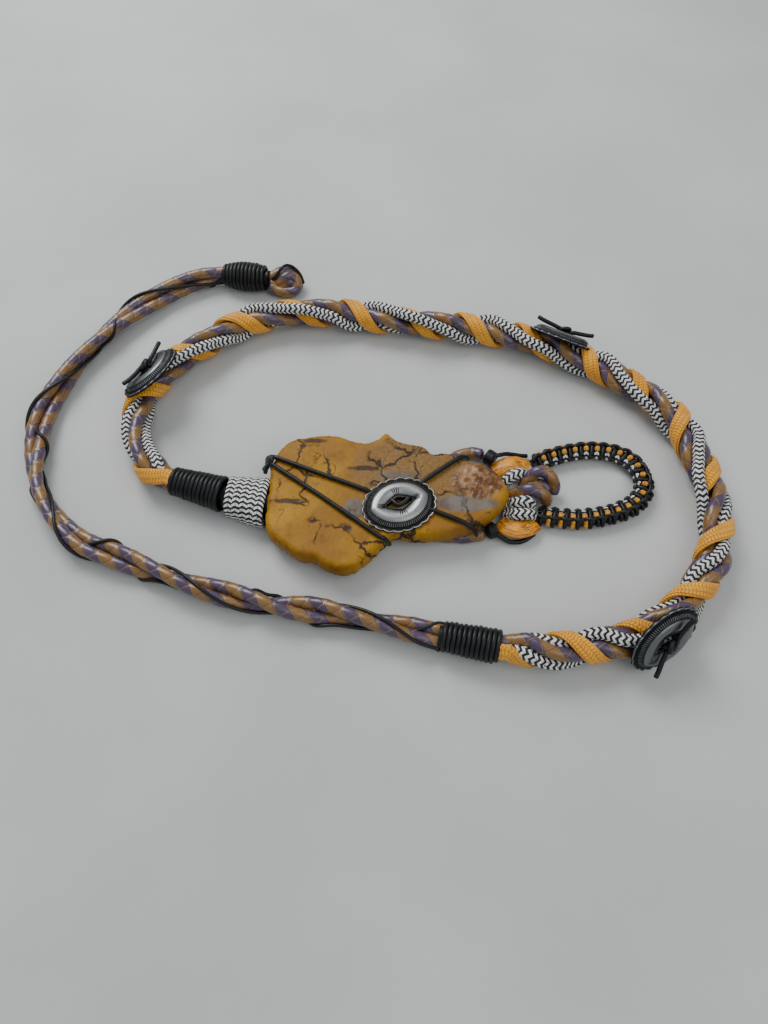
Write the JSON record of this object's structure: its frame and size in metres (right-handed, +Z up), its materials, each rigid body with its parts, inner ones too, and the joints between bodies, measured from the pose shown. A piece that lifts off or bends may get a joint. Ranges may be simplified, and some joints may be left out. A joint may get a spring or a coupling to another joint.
{
  "type": "macrame belt",
  "caption": "Macrame belt: a stone slab with an oval concho, a twisted rope of braided cords with tied conchos, a thinner cord tail and a flat knotted loop.",
  "frame": {"origin": "middle of the footprint, on the table's top", "axes": "+X along the belt's longest side as it lies, +Y away from the viewer, +Z up from the table"},
  "size_m": [0.318, 0.2201, 0.0284],
  "materials": {
    "stone": "worn, uneven, waxy",
    "silver": "darkened engraved silver",
    "purple_tan_leather": "glossy four-lace braid in purple and tan",
    "black_white_cord": "braided cord in black and white zigzags",
    "orange_cord": "flat woven cord",
    "black_cord": "glossy round cord"
  },
  "bodies": {
    "root": {"back_cord_lower": "purple_tan_leather", "back_cord_upper": "purple_tan_leather", "binding_lower": "black_cord", "binding_upper": "black_cord", "black_end_lower": "black_cord", "black_end_upper": "black_cord", "bottom_wrap": "black_cord", "concho_tie_left": "black_cord", "concho_tie_right": "black_cord", "concho_tie_top": "black_cord", "end_knot": "purple_tan_leather", "end_knot_core": "purple_tan_leather", "knotted_loop": "black_cord", "lacing_left_lower": "black_cord", "lacing_left_upper": "black_cord", "lacing_right_lower": "black_cord", "lacing_right_upper": "black_cord", "leather_end_lower": "purple_tan_leather", "leather_end_upper": "purple_tan_leather", "leather_strand_a": "purple_tan_leather", "leather_strand_b": "purple_tan_leather", "left_wrap": "black_cord", "orange_end_lower": "orange_cord", "orange_end_upper": "orange_cord", "orange_strand": "orange_cord", "patterned_end_lower_a": "black_white_cord", "patterned_end_lower_b": "black_white_cord", "patterned_end_upper": "black_white_cord", "patterned_strand_a": "black_white_cord", "patterned_strand_b": "black_white_cord", "patterned_wrap": "black_white_cord", "rope_concho_left": "silver", "rope_concho_right": "silver", "rope_concho_top": "silver", "stone_concho": "silver", "stone_slab": "stone", "tail_back_lace": "black_cord", "tail_lace": "black_cord", "tail_leather_a": "purple_tan_leather", "tail_leather_b": "purple_tan_leather", "tail_wrap": "black_cord"}
  },
  "joints": []
}
